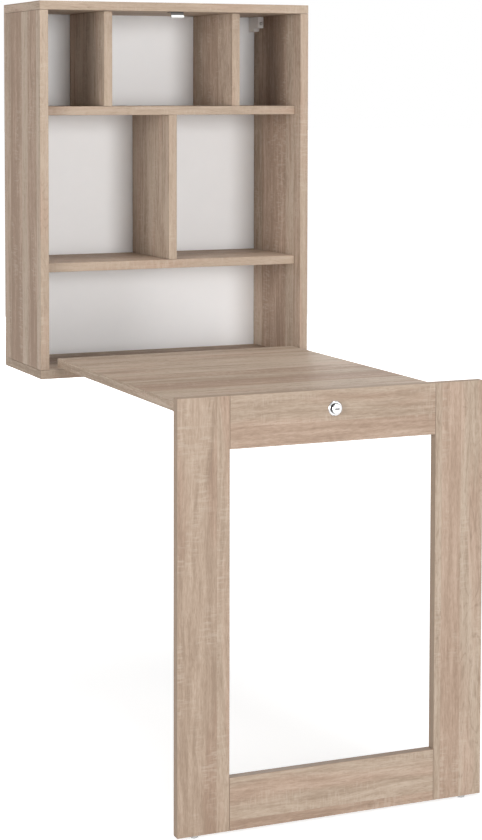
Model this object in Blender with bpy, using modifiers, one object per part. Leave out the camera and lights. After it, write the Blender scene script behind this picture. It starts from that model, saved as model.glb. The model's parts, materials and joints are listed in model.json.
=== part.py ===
"""Wall-hung folding desk: a shallow shelf cabinet, a hinged desk leaf and a leg frame at the leaf's end.

Metres, +Z up. The origin is the centre of the back panel's rear face, the wall lies at Y = 0 and the
cabinet stands out along -Y. The desk is modelled open: the leaf is level and the leg frame stands on the
floor. To close it, the leaf swings up into the cabinet's mouth while the frame hangs plumb, until the frame
covers the cabinet's front.
"""

import math

import bmesh
import bpy
from mathutils import Matrix, Vector

# Boards of the cabinet
CABINET_WIDTH = 0.600
CABINET_HEIGHT = 0.766
CABINET_DEPTH = 0.240
BOARD = 0.018
BACK_THICKNESS = 0.003
BACK_INSET = 0.001
BACK_EASE = 0.0003
BOARD_EASE = 0.0008
TOP_BAY_HEIGHT = 0.195
BOTTOM_BAY_HEIGHT = 0.197
SIDE_BAY_WIDTH = 0.1295

# Clearances
FIT_GAP = 0.0003
CLOSED_GAP = 0.0005
SHELF_CLEARANCE = 0.003
LEAF_END_GAP = 0.0085

# Desk leaf and leg frame
LEAF_SIDE_GAP = 0.035
RIM_HEIGHT = 0.020
FRAME_HEIGHT = 0.762
STILE_WIDTH = 0.098
TOP_RAIL_HEIGHT = 0.093
BOTTOM_RAIL_HEIGHT = 0.094
TENON_LENGTH = 0.044
TENON_HEIGHT = 0.040
TENON_THICKNESS = 0.006
TENON_EASE = 0.001
FOOT_DIAMETER = 0.014
FOOT_HEIGHT = 0.005
FOOT_CHAMFER = 0.0016
FOOT_INSET = 0.035
FOOT_SHANK_DIAMETER = 0.004
FOOT_SHANK_LENGTH = 0.012

# Butt hinges, rolled from sheet around a pin
HINGE_LENGTH = 0.060
HINGE_SHEET = 0.0012
HINGE_KNUCKLES = 5
KNUCKLE_GAP = 0.0004
TOOTH_INSET = 0.0002
PIN_DIAMETER = 0.002
PIN_HEAD_DIAMETER = 0.0034
PIN_HEAD_HEIGHT = 0.0008
PIN_CROWN_DIAMETER = 0.0020
WING_WIDTH = 0.020
WING_MARGIN = 0.0015
HINGE_SCREW_HEAD = 0.0062
HINGE_SCREW_HOLE = 0.0034
HINGE_SCREW_EDGE = 0.0068
HINGE_SCREW_SPACING = 0.021
HINGE_SCREWS = 3
DESK_HINGE_INSET = 0.065
LEG_HINGE_INSET = 0.047

# Cam lock in the top rail
LOCK_DROP = 0.034
ROSETTE_DIAMETER = 0.027
ROSETTE_HEIGHT = 0.0022
ROSETTE_CHAMFER = 0.0015
BARREL_DIAMETER = 0.022
PLUG_DIAMETER = 0.0185
PLUG_STAND_OUT = 0.0055
PLUG_CHAMFER = 0.0008
KEY_SLOT_WIDTH = 0.0085
KEY_SLOT_HEIGHT = 0.0020
KEY_SLOT_DEPTH = 0.009
PLUG_STUB_DIAMETER = 0.0066
CAM_LENGTH = 0.0128
CAM_WIDTH = 0.0066
CAM_CORNER = 0.0017
CAM_SHEET = 0.002
CAM_SCREW_HEAD_DIAMETER = 0.0066
CAM_SCREW_HEAD_HEIGHT = 0.0014
CAM_SCREW_CROWN_DIAMETER = 0.0046
CAM_SCREW_DIAMETER = 0.003
CAM_SCREW_LENGTH = 0.007

# Strike of the lock, under the top panel
STRIKE_WIDTH = 0.028
STRIKE_SHEET = 0.0015
STRIKE_BEND = 0.0010
STRIKE_DROP = 0.012
STRIKE_DEPTH = 0.020
STRIKE_SETBACK = 0.0002
BUMPER_HEIGHT = 0.0048
BUMPER_THICKNESS = 0.001
BUMPER_EASE = 0.0002
STRIKE_SCREW_SPACING = 0.016
STRIKE_SCREW_HEAD = 0.0056
STRIKE_SCREW_DIAMETER = 0.003
STRIKE_SCREW_LENGTH = 0.012

# Cabinet hangers in the top rear corners
HANGER_DEPTH = 0.050
HANGER_HEIGHT = 0.032
HANGER_WIDTH = 0.013
HANGER_NOSE_HEIGHT = 0.025
HANGER_NOSE_DEPTH = 0.020
HANGER_STEP_RUN = 0.004
HANGER_EASE = 0.0006
HOOK_SHEET = 0.0022
HOOK_ARM_LENGTH = 0.034
HOOK_ARM_HEIGHT = 0.009
HOOK_TRAVEL = 0.004
HOOK_CENTRE_DROP = 0.0150
HOOK_LIP_DEPTH = 0.0020
HOOK_LIP_NOTCH = 0.0030
HOOK_LIP_NOTCH_HEIGHT = 0.0045
HOOK_REAR_MARGIN = 0.0006
HANGER_CUTOUT_MARGIN = 0.0030
HANGER_SCREW_HEAD_DIAMETER = 0.0078
HANGER_SCREW_HEAD_HEIGHT = 0.0022
HANGER_SCREW_CROWN_DIAMETER = 0.0055
HANGER_SCREW_DIAMETER = 0.0040

# Long assembly screws through the top and bottom panels
ASSEMBLY_SCREW_LENGTH = 0.050
ASSEMBLY_SCREW_HEAD_DIAMETER = 0.010
ASSEMBLY_SCREW_HEAD_HEIGHT = 0.003
ASSEMBLY_SCREW_RIM = 0.001
ASSEMBLY_SCREW_SOCKET_DIAMETER = 0.0046
ASSEMBLY_SCREW_SOCKET_DEPTH = 0.0022
ASSEMBLY_SCREW_SHANK_DIAMETER = 0.007
ASSEMBLY_SCREW_CORE_DIAMETER = 0.005
ASSEMBLY_SCREW_SINK = 0.0004
ASSEMBLY_SCREW_INSET = 0.040

# Roundness of turned and rolled pieces
FINE_SIDES = 32
KNUCKLE_SIDES = 16
SCREW_SIDES = 12
HEXAGON_SIDES = 6
CAM_ARC_STEPS = 9
BEND_STEPS = 4
EASE_STEPS = 2
MOULDED_EASE_STEPS = 1
CUTTER_MARGIN = 0.002
MERGE_DISTANCE = 0.000001
FLAT_ANGLE = 0.001

# Places that follow from the sizes above
TOP_Z = CABINET_HEIGHT / 2
BOTTOM_Z = -CABINET_HEIGHT / 2
FRONT_Y = -CABINET_DEPTH
CARCASS_BACK_Y = -BACK_THICKNESS - FIT_GAP
INNER_X = CABINET_WIDTH / 2 - BOARD
CEILING_Z = TOP_Z - BOARD
FLOOR_Z = BOTTOM_Z + BOARD
UPPER_SHELF_TOP = CEILING_Z - TOP_BAY_HEIGHT
LOWER_SHELF_TOP = FLOOR_Z + BOTTOM_BAY_HEIGHT + BOARD
DIVIDER_X = INNER_X - SIDE_BAY_WIDTH - BOARD / 2

BORE_RADIUS = PIN_DIAMETER / 2 + FIT_GAP
KNUCKLE_RADIUS = BORE_RADIUS + HINGE_SHEET
AXIS_OFFSET = KNUCKLE_RADIUS + FIT_GAP
DESK_AXIS = Vector((0, FRONT_Y + AXIS_OFFSET - CLOSED_GAP, FLOOR_Z + AXIS_OFFSET))
LEAF_UNDER_Z = DESK_AXIS.z + AXIS_OFFSET
LEAF_TOP_Z = LEAF_UNDER_Z + BOARD
SHELF_FRONT_Y = DESK_AXIS.y + AXIS_OFFSET + BOARD + SHELF_CLEARANCE
FRAME_TOP_Z = LEAF_TOP_Z + RIM_HEIGHT
FRAME_BOTTOM_Z = FRAME_TOP_Z - FRAME_HEIGHT
LEAF_REACH = TOP_Z - FRAME_TOP_Z
LEG_AXIS = DESK_AXIS - Vector((0, LEAF_REACH, 0))
FRAME_BACK_Y = LEG_AXIS.y - AXIS_OFFSET
FRAME_FRONT_Y = FRAME_BACK_Y - BOARD
LEAF_REAR_Y = DESK_AXIS.y - AXIS_OFFSET
LEAF_FRONT_Y = FRAME_BACK_Y + LEAF_END_GAP
LEAF_HALF_WIDTH = CABINET_WIDTH / 2 - LEAF_SIDE_GAP
STILE_INNER_X = CABINET_WIDTH / 2 - STILE_WIDTH
DESK_HINGE_X = LEAF_HALF_WIDTH - DESK_HINGE_INSET
LEG_HINGE_X = STILE_INNER_X - LEG_HINGE_INSET

LOCK_CENTRE = Vector((0, FRAME_FRONT_Y, FRAME_TOP_Z - LOCK_DROP))
BUMPER_FRONT_Y = FRONT_Y + STRIKE_SETBACK
STRIKE_FRONT_Y = BUMPER_FRONT_Y + BUMPER_THICKNESS + FIT_GAP
CAM_STAND_OFF = STRIKE_FRONT_Y + STRIKE_SHEET + FIT_GAP - (FRONT_Y - CLOSED_GAP)
CAM_FRONT_Y = FRAME_BACK_Y + CAM_STAND_OFF

HANGER_BACK_Y = CARCASS_BACK_Y - FIT_GAP
HANGER_TOP_Z = CEILING_Z - FIT_GAP
HANGER_X = INNER_X - FIT_GAP - HANGER_WIDTH / 2
HOOK_CENTRE_Z = HANGER_TOP_Z - HOOK_CENTRE_DROP
HOOK_FRONT_Y = HANGER_BACK_Y - HOOK_ARM_LENGTH

BODIES = {
    "cabinet": Vector((0, 0, 0)),
    "desk_leaf": DESK_AXIS,
    "leg_frame": LEG_AXIS,
    "lock_cylinder": LOCK_CENTRE,
    "left_hook": Vector((-HANGER_X, HOOK_FRONT_Y, HOOK_CENTRE_Z)),
    "right_hook": Vector((HANGER_X, HOOK_FRONT_Y, HOOK_CENTRE_Z)),
}
BODY_PARENTS = {
    "desk_leaf": "cabinet",
    "leg_frame": "desk_leaf",
    "lock_cylinder": "leg_frame",
    "left_hook": "cabinet",
    "right_hook": "cabinet",
}

# Colour, roughness and metallic value of each finish
FINISHES = {
    "oak": ((0.50, 0.38, 0.28), 0.55, 0.0),
    "white_board": ((0.80, 0.79, 0.78), 0.60, 0.0),
    "birch": ((0.70, 0.56, 0.38), 0.60, 0.0),
    "zinc": ((0.62, 0.62, 0.60), 0.38, 1.0),
    "chrome": ((0.82, 0.82, 0.83), 0.12, 1.0),
    "dark_steel": ((0.10, 0.09, 0.08), 0.50, 0.8),
    "white_plastic": ((0.88, 0.88, 0.87), 0.45, 0.0),
    "grey_plastic": ((0.55, 0.55, 0.54), 0.45, 0.0),
}

FRONT = Vector((0, -1, 0))
BACK = Vector((0, 1, 0))
UP = Vector((0, 0, 1))
DOWN = Vector((0, 0, -1))


def clear_scene():
    for obj in list(bpy.data.objects):
        bpy.data.objects.remove(obj)


def new_collection(name):
    collection = bpy.data.collections.new(name)
    bpy.context.scene.collection.children.link(collection)
    return collection


def new_finish(name, finish):
    colour, roughness, metallic = FINISHES[finish]
    material = bpy.data.materials.new(f"{name}_{finish}")
    material.use_nodes = True
    shader = material.node_tree.nodes["Principled BSDF"]
    shader.inputs["Base Color"].default_value = (*colour, 1)
    shader.inputs["Roughness"].default_value = roughness
    shader.inputs["Metallic"].default_value = metallic
    return material


class Desk:
    """Holds the collections and the empty on each body's joint axis."""

    def __init__(self):
        self.parts = new_collection("folding_desk")
        self.cutters = new_collection("cutters")
        self.axes = {}
        for body, place in BODIES.items():
            empty = bpy.data.objects.new(f"{body}_axis", None)
            self.parts.objects.link(empty)
            parent = BODY_PARENTS.get(body)
            empty.location = place
            if parent:
                empty.parent = self.axes[parent]
                empty.location = place - BODIES[parent]
            self.axes[body] = empty

    def piece(self, name, mesh, body, place, finish, turn=None):
        """A named part at a place in the world, parented to its body's axis."""
        obj = bpy.data.objects.new(name, mesh)
        self.parts.objects.link(obj)
        obj.parent = self.axes[body]
        obj.location = Vector(place) - BODIES[body]
        mesh.materials.append(new_finish(name, finish))
        self.turn(obj, turn)
        return obj

    def helper(self, name, mesh, place, turn=None):
        """A shape that only cuts or joins other pieces."""
        obj = bpy.data.objects.new(name, mesh)
        self.cutters.objects.link(obj)
        obj.location = place
        obj.hide_render = True
        obj.display_type = "WIRE"
        self.turn(obj, turn)
        return obj

    @staticmethod
    def turn(obj, turn):
        if turn:
            obj.rotation_mode = "QUATERNION"
            obj.rotation_quaternion = turn


def boolean(obj, tool, operation="DIFFERENCE"):
    modifier = obj.modifiers.new(operation.lower(), "BOOLEAN")
    modifier.operation = operation
    modifier.object = tool


def ease_edges(obj, width, steps=EASE_STEPS):
    modifier = obj.modifiers.new("ease", "BEVEL")
    modifier.width = width
    modifier.segments = steps
    modifier.limit_method = "ANGLE"


def finish_mesh(name, bm):
    mesh = bpy.data.meshes.new(name)
    bm.to_mesh(mesh)
    bm.free()
    return mesh


def span(low, high):
    """Size and centre of the box between two corners."""
    low, high = Vector(low), Vector(high)
    return high - low, (low + high) / 2


def add_box(bm, low, high):
    size, centre = span(low, high)
    bmesh.ops.create_cube(bm, size=1, matrix=Matrix.LocRotScale(centre, None, size))


def box_mesh(name, size):
    bm = bmesh.new()
    add_box(bm, -size / 2, size / 2)
    return finish_mesh(name, bm)


def grown(low, high, gap):
    margin = Vector((gap, gap, gap))
    return Vector(low) - margin, Vector(high) + margin


def arc_points(centre, radius, start, stop, steps):
    """Points along an arc between two angles in degrees."""
    angles = [math.radians(start + (stop - start) * step / steps) for step in range(steps + 1)]
    return [(centre[0] + radius * math.cos(angle), centre[1] + radius * math.sin(angle)) for angle in angles]


def outline_mesh(name, points, thickness):
    """A flat closed outline in the XY plane, made solid on both sides of it."""
    curve = bpy.data.curves.new(name, "CURVE")
    curve.dimensions = "2D"
    curve.fill_mode = "BOTH"
    curve.extrude = thickness / 2
    spline = curve.splines.new("POLY")
    spline.points.add(len(points) - 1)
    for point, (x, y) in zip(spline.points, points):
        point.co = (x, y, 0, 1)
    spline.use_cyclic_u = True
    guide = bpy.data.objects.new(name, curve)
    bpy.context.scene.collection.objects.link(guide)
    bpy.context.view_layer.update()
    graph = bpy.context.evaluated_depsgraph_get()
    mesh = bpy.data.meshes.new_from_object(guide.evaluated_get(graph))
    bpy.data.objects.remove(guide)
    bm = bmesh.new()
    bm.from_mesh(mesh)
    bmesh.ops.remove_doubles(bm, verts=bm.verts, dist=MERGE_DISTANCE)
    bmesh.ops.dissolve_limit(bm, angle_limit=FLAT_ANGLE, verts=bm.verts, edges=bm.edges)
    bmesh.ops.recalc_face_normals(bm, faces=bm.faces)
    bm.to_mesh(mesh)
    bm.free()
    mesh.name = name
    return mesh


def profile_mesh(name, profile):
    """Points of (radius, height) to turn round the Z axis, a ring if the last one repeats the first."""
    ring = profile[0] == profile[-1]
    points = profile[:-1] if ring else profile
    bm = bmesh.new()
    verts = [bm.verts.new((radius, 0, height)) for radius, height in points]
    ends = verts[1:] + verts[:1] if ring else verts[1:]
    for first, second in zip(verts, ends):
        bm.edges.new((first, second))
    return finish_mesh(name, bm)


def screw_round(obj, sides):
    modifier = obj.modifiers.new("turn", "SCREW")
    modifier.axis = "Z"
    modifier.steps = sides
    modifier.render_steps = sides
    modifier.use_merge_vertices = True
    modifier.merge_threshold = MERGE_DISTANCE
    modifier.use_smooth_shade = False


def facing(direction):
    """The turn that brings a turned piece's own top to face a direction."""
    return UP.rotation_difference(direction)


def board(desk, name, low, high, body, finish="oak", ease=BOARD_EASE):
    size, centre = span(low, high)
    obj = desk.piece(name, box_mesh(name, size), body, centre, finish)
    ease_edges(obj, ease)
    return obj


def box_cutter(desk, name, low, high):
    size, centre = span(low, high)
    return desk.helper(name, box_mesh(name, size), centre)


def turned_piece(desk, name, profile, place, direction, body, finish, sides):
    obj = desk.piece(name, profile_mesh(name, profile), body, place, finish, facing(direction))
    screw_round(obj, sides)
    return obj


def turned_cutter(desk, name, profile, place, direction, sides):
    obj = desk.helper(name, profile_mesh(name, profile), place, facing(direction))
    screw_round(obj, sides)
    return obj


def make_carcass(desk):
    """Top and bottom cover the sides' ends; shelves and dividers stand back behind the closed leaf."""
    half = CABINET_WIDTH / 2
    boards = {
        "top_panel": ((-half, FRONT_Y, CEILING_Z), (half, CARCASS_BACK_Y, TOP_Z)),
        "bottom_panel": ((-half, FRONT_Y, BOTTOM_Z), (half, CARCASS_BACK_Y, FLOOR_Z)),
    }
    side_low, side_high = FLOOR_Z + FIT_GAP, CEILING_Z - FIT_GAP
    boards["left_side_panel"] = ((-half, FRONT_Y, side_low), (-INNER_X, CARCASS_BACK_Y, side_high))
    boards["right_side_panel"] = ((INNER_X, FRONT_Y, side_low), (half, CARCASS_BACK_Y, side_high))
    shelf_x = INNER_X - FIT_GAP
    for name, top in (("upper_shelf", UPPER_SHELF_TOP), ("lower_shelf", LOWER_SHELF_TOP)):
        boards[name] = ((-shelf_x, SHELF_FRONT_Y, top - BOARD), (shelf_x, CARCASS_BACK_Y, top))
    upper_low, upper_high = UPPER_SHELF_TOP + FIT_GAP, CEILING_Z - FIT_GAP
    middle_low, middle_high = LOWER_SHELF_TOP + FIT_GAP, UPPER_SHELF_TOP - BOARD - FIT_GAP
    dividers = (
        ("upper_left_divider", -DIVIDER_X, upper_low, upper_high),
        ("upper_right_divider", DIVIDER_X, upper_low, upper_high),
        ("middle_divider", 0, middle_low, middle_high),
    )
    for name, x, low, high in dividers:
        boards[name] = ((x - BOARD / 2, SHELF_FRONT_Y, low), (x + BOARD / 2, CARCASS_BACK_Y, high))
    made = {name: board(desk, name, low, high, "cabinet") for name, (low, high) in boards.items()}
    edge_x, edge_z = half - BACK_INSET, TOP_Z - BACK_INSET
    made["back_panel"] = board(
        desk,
        "back_panel",
        (-edge_x, -BACK_THICKNESS, -edge_z),
        (edge_x, 0, edge_z),
        "cabinet",
        "white_board",
        BACK_EASE,
    )
    return made


def assembly_screw_profile(gap):
    """A countersunk head, a plain shank through the panel and a core in the side, grown by a gap."""
    head = ASSEMBLY_SCREW_HEAD_DIAMETER / 2 + gap
    shank = ASSEMBLY_SCREW_SHANK_DIAMETER / 2 + gap
    core = ASSEMBLY_SCREW_CORE_DIAMETER / 2 + gap
    rim = ASSEMBLY_SCREW_RIM + gap
    neck = ASSEMBLY_SCREW_HEAD_HEIGHT + gap
    top = CUTTER_MARGIN if gap else 0
    tip = ASSEMBLY_SCREW_LENGTH + gap
    return [
        (0, top),
        (head, top),
        (head, -rim),
        (shank, -neck),
        (shank, -BOARD + ASSEMBLY_SCREW_SINK),
        (core, -BOARD + ASSEMBLY_SCREW_SINK - gap - FIT_GAP),
        (core, -tip + core),
        (0, -tip),
    ]


def make_assembly_screws(desk, boards):
    """Two screws at each corner of the carcass, with a hexagon socket in each head."""
    side_x = CABINET_WIDTH / 2 - BOARD / 2
    corner = ASSEMBLY_SCREW_SOCKET_DIAMETER / 2
    floor = -ASSEMBLY_SCREW_SOCKET_DEPTH
    hexagon = [(0, CUTTER_MARGIN), (corner, CUTTER_MARGIN), (corner, floor), (0, floor)]
    rows = {"front": FRONT_Y + ASSEMBLY_SCREW_INSET, "rear": CARCASS_BACK_Y - ASSEMBLY_SCREW_INSET}
    levels = {"top": (TOP_Z - ASSEMBLY_SCREW_SINK, UP), "bottom": (BOTTOM_Z + ASSEMBLY_SCREW_SINK, DOWN)}
    for level, (z, direction) in levels.items():
        for side, x in (("left", -side_x), ("right", side_x)):
            for row, y in rows.items():
                name = f"{level}_{side}_{row}_screw"
                place = (x, y, z)
                screw = turned_piece(
                    desk, name, assembly_screw_profile(0), place, direction, "cabinet", "zinc", SCREW_SIDES
                )
                socket = turned_cutter(desk, f"{name}_socket", hexagon, place, direction, HEXAGON_SIDES)
                boolean(screw, socket)
                hole = turned_cutter(
                    desk, f"{name}_hole", assembly_screw_profile(FIT_GAP), place, direction, SCREW_SIDES
                )
                boolean(boards[f"{level}_panel"], hole)
                boolean(boards[f"{side}_side_panel"], hole)


def hanger_outline():
    """The housing's side view, rear edge at x = 0 and top at y = 0, with its nose stepped up in front."""
    nose_end = -HANGER_DEPTH + HANGER_NOSE_DEPTH
    return [
        (0, 0),
        (0, -HANGER_HEIGHT),
        (nose_end + HANGER_STEP_RUN, -HANGER_HEIGHT),
        (nose_end, -HANGER_NOSE_HEIGHT),
        (-HANGER_DEPTH, -HANGER_NOSE_HEIGHT),
        (-HANGER_DEPTH, 0),
    ]


def hook_outline():
    """The hook's side view from its front end: an arm with a lip that drops behind the wall plate's edge."""
    top = HOOK_ARM_HEIGHT / 2
    rear = HOOK_ARM_LENGTH + (-HOOK_REAR_MARGIN - HANGER_BACK_Y)
    lip = rear - HOOK_LIP_DEPTH
    notch = lip - HOOK_LIP_NOTCH
    return [
        (0, -top),
        (notch, -top),
        (notch, -top + HOOK_LIP_NOTCH_HEIGHT),
        (lip, -top + HOOK_LIP_NOTCH_HEIGHT),
        (lip, -top),
        (rear, -top),
        (rear, top),
        (0, top),
    ]


def upright_in_yz():
    """Turns an outline's x along +Y and its y along +Z, so its thickness lies along X."""
    return Matrix(((0, 0, 1), (1, 0, 0), (0, 1, 0))).to_quaternion()


def make_hangers(desk, boards):
    stand = upright_in_yz()
    slot_half_height = HOOK_ARM_HEIGHT / 2 + HOOK_TRAVEL + FIT_GAP
    slot_half_width = HOOK_SHEET / 2 + FIT_GAP
    window_half_height = slot_half_height + HANGER_CUTOUT_MARGIN
    window_half_width = slot_half_width + HANGER_CUTOUT_MARGIN
    nose_y = HANGER_BACK_Y - HANGER_DEPTH
    screw_length = HOOK_FRONT_Y - FIT_GAP - nose_y
    for side, x in (("left", -HANGER_X), ("right", HANGER_X)):
        housing = desk.piece(
            f"{side}_hanger_housing",
            outline_mesh(f"{side}_hanger_housing", hanger_outline(), HANGER_WIDTH),
            "cabinet",
            (x, HANGER_BACK_Y, HANGER_TOP_Z),
            "grey_plastic",
            stand,
        )
        ease_edges(housing, HANGER_EASE, MOULDED_EASE_STEPS)
        desk.piece(
            f"{side}_hanger_hook",
            outline_mesh(f"{side}_hanger_hook", hook_outline(), HOOK_SHEET),
            f"{side}_hook",
            (x, HOOK_FRONT_Y, HOOK_CENTRE_Z),
            "zinc",
            stand,
        )
        slot = box_cutter(
            desk,
            f"{side}_hook_slot",
            (x - slot_half_width, HOOK_FRONT_Y - FIT_GAP, HOOK_CENTRE_Z - slot_half_height),
            (x + slot_half_width, HANGER_BACK_Y + CUTTER_MARGIN, HOOK_CENTRE_Z + slot_half_height),
        )
        boolean(housing, slot)
        window = box_cutter(
            desk,
            f"{side}_hook_window",
            (x - window_half_width, -BACK_THICKNESS - CUTTER_MARGIN, HOOK_CENTRE_Z - window_half_height),
            (x + window_half_width, CUTTER_MARGIN, HOOK_CENTRE_Z + window_half_height),
        )
        boolean(boards["back_panel"], window)
        head, shank = HANGER_SCREW_HEAD_DIAMETER / 2, HANGER_SCREW_DIAMETER / 2
        place = (x, nose_y - FIT_GAP, HOOK_CENTRE_Z)
        profile = [
            (0, HANGER_SCREW_HEAD_HEIGHT),
            (HANGER_SCREW_CROWN_DIAMETER / 2, HANGER_SCREW_HEAD_HEIGHT),
            (head, HANGER_SCREW_HEAD_HEIGHT / 2),
            (head, 0),
            (shank, 0),
            (shank, -screw_length),
            (0, -screw_length),
        ]
        turned_piece(desk, f"{side}_hanger_screw", profile, place, FRONT, "cabinet", "zinc", SCREW_SIDES)
        bore = [
            (0, CUTTER_MARGIN),
            (shank + FIT_GAP, CUTTER_MARGIN),
            (shank + FIT_GAP, -screw_length - CUTTER_MARGIN),
            (0, -screw_length - CUTTER_MARGIN),
        ]
        boolean(housing, turned_cutter(desk, f"{side}_hanger_bore", bore, place, FRONT, SCREW_SIDES))


def make_strike(desk, boards):
    """A bent steel strike under the top panel, with a white bumper on the lower half of its front."""
    top = CEILING_Z - FIT_GAP
    drop = STRIKE_DROP - FIT_GAP
    outer = STRIKE_BEND + STRIKE_SHEET
    outline = [(0, -drop), (STRIKE_SHEET, -drop)]
    outline += arc_points((outer, -outer), STRIKE_BEND, 180, 90, BEND_STEPS)
    outline += [(STRIKE_DEPTH, -STRIKE_SHEET), (STRIKE_DEPTH, 0)]
    outline += arc_points((outer, -outer), outer, 90, 180, BEND_STEPS)
    strike = desk.piece(
        "lock_strike",
        outline_mesh("lock_strike", outline, STRIKE_WIDTH),
        "cabinet",
        (0, STRIKE_FRONT_Y, top),
        "dark_steel",
        upright_in_yz(),
    )
    board(
        desk,
        "strike_bumper",
        (-STRIKE_WIDTH / 2, BUMPER_FRONT_Y, top - drop),
        (STRIKE_WIDTH / 2, BUMPER_FRONT_Y + BUMPER_THICKNESS, top - drop + BUMPER_HEIGHT),
        "cabinet",
        "white_plastic",
        BUMPER_EASE,
    )
    head, shank = STRIKE_SCREW_HEAD / 2, STRIKE_SCREW_DIAMETER / 2
    cone = head - shank
    screw_y = STRIKE_FRONT_Y + (STRIKE_SHEET + STRIKE_DEPTH) / 2
    for side, x in (("left", -STRIKE_SCREW_SPACING / 2), ("right", STRIKE_SCREW_SPACING / 2)):
        place = (x, screw_y, top - STRIKE_SHEET)
        name = f"{side}_strike_screw"
        tip = -STRIKE_SCREW_LENGTH
        profile = [(0, 0), (head, 0), (shank, -cone), (shank, tip), (0, tip)]
        turned_piece(desk, name, profile, place, DOWN, "cabinet", "zinc", SCREW_SIDES)
        wide, narrow, end = head + FIT_GAP, shank + FIT_GAP, tip - FIT_GAP
        hole = [(0, CUTTER_MARGIN), (wide, CUTTER_MARGIN), (wide, 0)]
        hole += [(narrow, -cone), (narrow, end), (0, end)]
        cutter = turned_cutter(desk, f"{name}_hole", hole, place, DOWN, SCREW_SIDES)
        boolean(strike, cutter)
        boolean(boards["top_panel"], cutter)


def knuckle_span(index):
    """Where one knuckle begins and ends along the hinge, with a running gap to its neighbours."""
    pitch = HINGE_LENGTH / HINGE_KNUCKLES
    low = -HINGE_LENGTH / 2 + index * pitch
    high = low + pitch
    if index > 0:
        low += KNUCKLE_GAP / 2
    if index < HINGE_KNUCKLES - 1:
        high -= KNUCKLE_GAP / 2
    return low, high


def along_x(bm, radius, low, high, sides):
    """Adds a round bar along X with a flat of its sides facing down."""
    turn = Matrix.Rotation(math.radians(90), 4, "Y") @ Matrix.Rotation(math.pi / sides, 4, "Z")
    place = Matrix.Translation(((low + high) / 2, 0, 0)) @ turn
    bmesh.ops.create_cone(
        bm,
        cap_ends=True,
        segments=sides,
        radius1=radius,
        radius2=radius,
        depth=high - low,
        matrix=place,
    )


def hinge_plate(desk, name, place, body, own, width, board_side, angle):
    """One wing with its rolled knuckles.

    The wing lies along +Y before it is turned about the hinge's axis. board_side is -1 or +1 for the side,
    down or up, on which the wing meets its board. The wing is cut away where the other plate's knuckles turn.
    """
    turn = Matrix.Rotation(angle, 3, "X").to_quaternion()
    half = HINGE_LENGTH / 2 - TOOTH_INSET
    middle = board_side * (KNUCKLE_RADIUS - HINGE_SHEET / 2)
    bm = bmesh.new()
    add_box(bm, (-half, 0, middle - HINGE_SHEET / 2), (half, width, middle + HINGE_SHEET / 2))
    plate = desk.piece(name, finish_mesh(name, bm), body, place, "zinc", turn)

    slots = bmesh.new()
    knuckles = bmesh.new()
    play = KNUCKLE_GAP + TOOTH_INSET
    for index in range(HINGE_KNUCKLES):
        low, high = knuckle_span(index)
        if index in own:
            along_x(knuckles, KNUCKLE_RADIUS, low, high, KNUCKLE_SIDES)
        else:
            corner = (low - play, -AXIS_OFFSET, -AXIS_OFFSET)
            add_box(slots, corner, (high + play, AXIS_OFFSET, AXIS_OFFSET))
    bore = bmesh.new()
    reach = HINGE_LENGTH / 2 + CUTTER_MARGIN
    along_x(bore, BORE_RADIUS, -reach, reach, KNUCKLE_SIDES)

    holes = bmesh.new()
    slope = (HINGE_SCREW_HEAD - HINGE_SCREW_HOLE) / 2 / HINGE_SHEET
    flip = Matrix.Rotation(0 if board_side > 0 else math.pi, 4, "X")
    for index in range(HINGE_SCREWS):
        x = (index - (HINGE_SCREWS - 1) / 2) * HINGE_SCREW_SPACING
        bmesh.ops.create_cone(
            holes,
            cap_ends=True,
            segments=SCREW_SIDES,
            radius1=HINGE_SCREW_HEAD / 2 + slope * FIT_GAP,
            radius2=HINGE_SCREW_HOLE / 2 - slope * FIT_GAP,
            depth=HINGE_SHEET + 2 * FIT_GAP,
            matrix=Matrix.Translation((x, width - HINGE_SCREW_EDGE, middle)) @ flip,
        )
    steps = (("slots", slots, "DIFFERENCE"), ("knuckles", knuckles, "UNION"))
    steps += (("bore", bore, "DIFFERENCE"), ("screw_holes", holes, "DIFFERENCE"))
    for step, shape, operation in steps:
        tool = desk.helper(f"{name}_{step}", finish_mesh(f"{name}_{step}", shape), place, turn)
        boolean(plate, tool, operation)


def hinge_pin(desk, name, place, body):
    """A pin with a low head beyond each outer knuckle."""
    shank, head, crown = PIN_DIAMETER / 2, PIN_HEAD_DIAMETER / 2, PIN_CROWN_DIAMETER / 2
    seat = HINGE_LENGTH / 2 + FIT_GAP
    end = seat + PIN_HEAD_HEIGHT
    profile = [
        (0, end),
        (crown, end),
        (head, seat),
        (shank, seat),
        (shank, -seat),
        (head, -seat),
        (crown, -end),
        (0, -end),
    ]
    turned_piece(desk, name, profile, place, Vector((1, 0, 0)), body, "zinc", KNUCKLE_SIDES)


def make_desk_hinges(desk):
    """Base plates lie on the bottom panel; leaf plates stand against the leaf's rear edge."""
    outer = range(0, HINGE_KNUCKLES, 2)
    inner = range(1, HINGE_KNUCKLES, 2)
    leaf_wing = AXIS_OFFSET + BOARD - WING_MARGIN
    for index, side in enumerate(("left", "middle", "right")):
        place = DESK_AXIS + Vector(((index - 1) * DESK_HINGE_X, 0, 0))
        name = f"desk_hinge_{side}"
        hinge_plate(desk, f"{name}_base_plate", place, "cabinet", outer, WING_WIDTH, -1, 0)
        hinge_plate(desk, f"{name}_leaf_plate", place, "desk_leaf", inner, leaf_wing, 1, math.pi / 2)
        hinge_pin(desk, f"{name}_pin", place, "cabinet")


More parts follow.
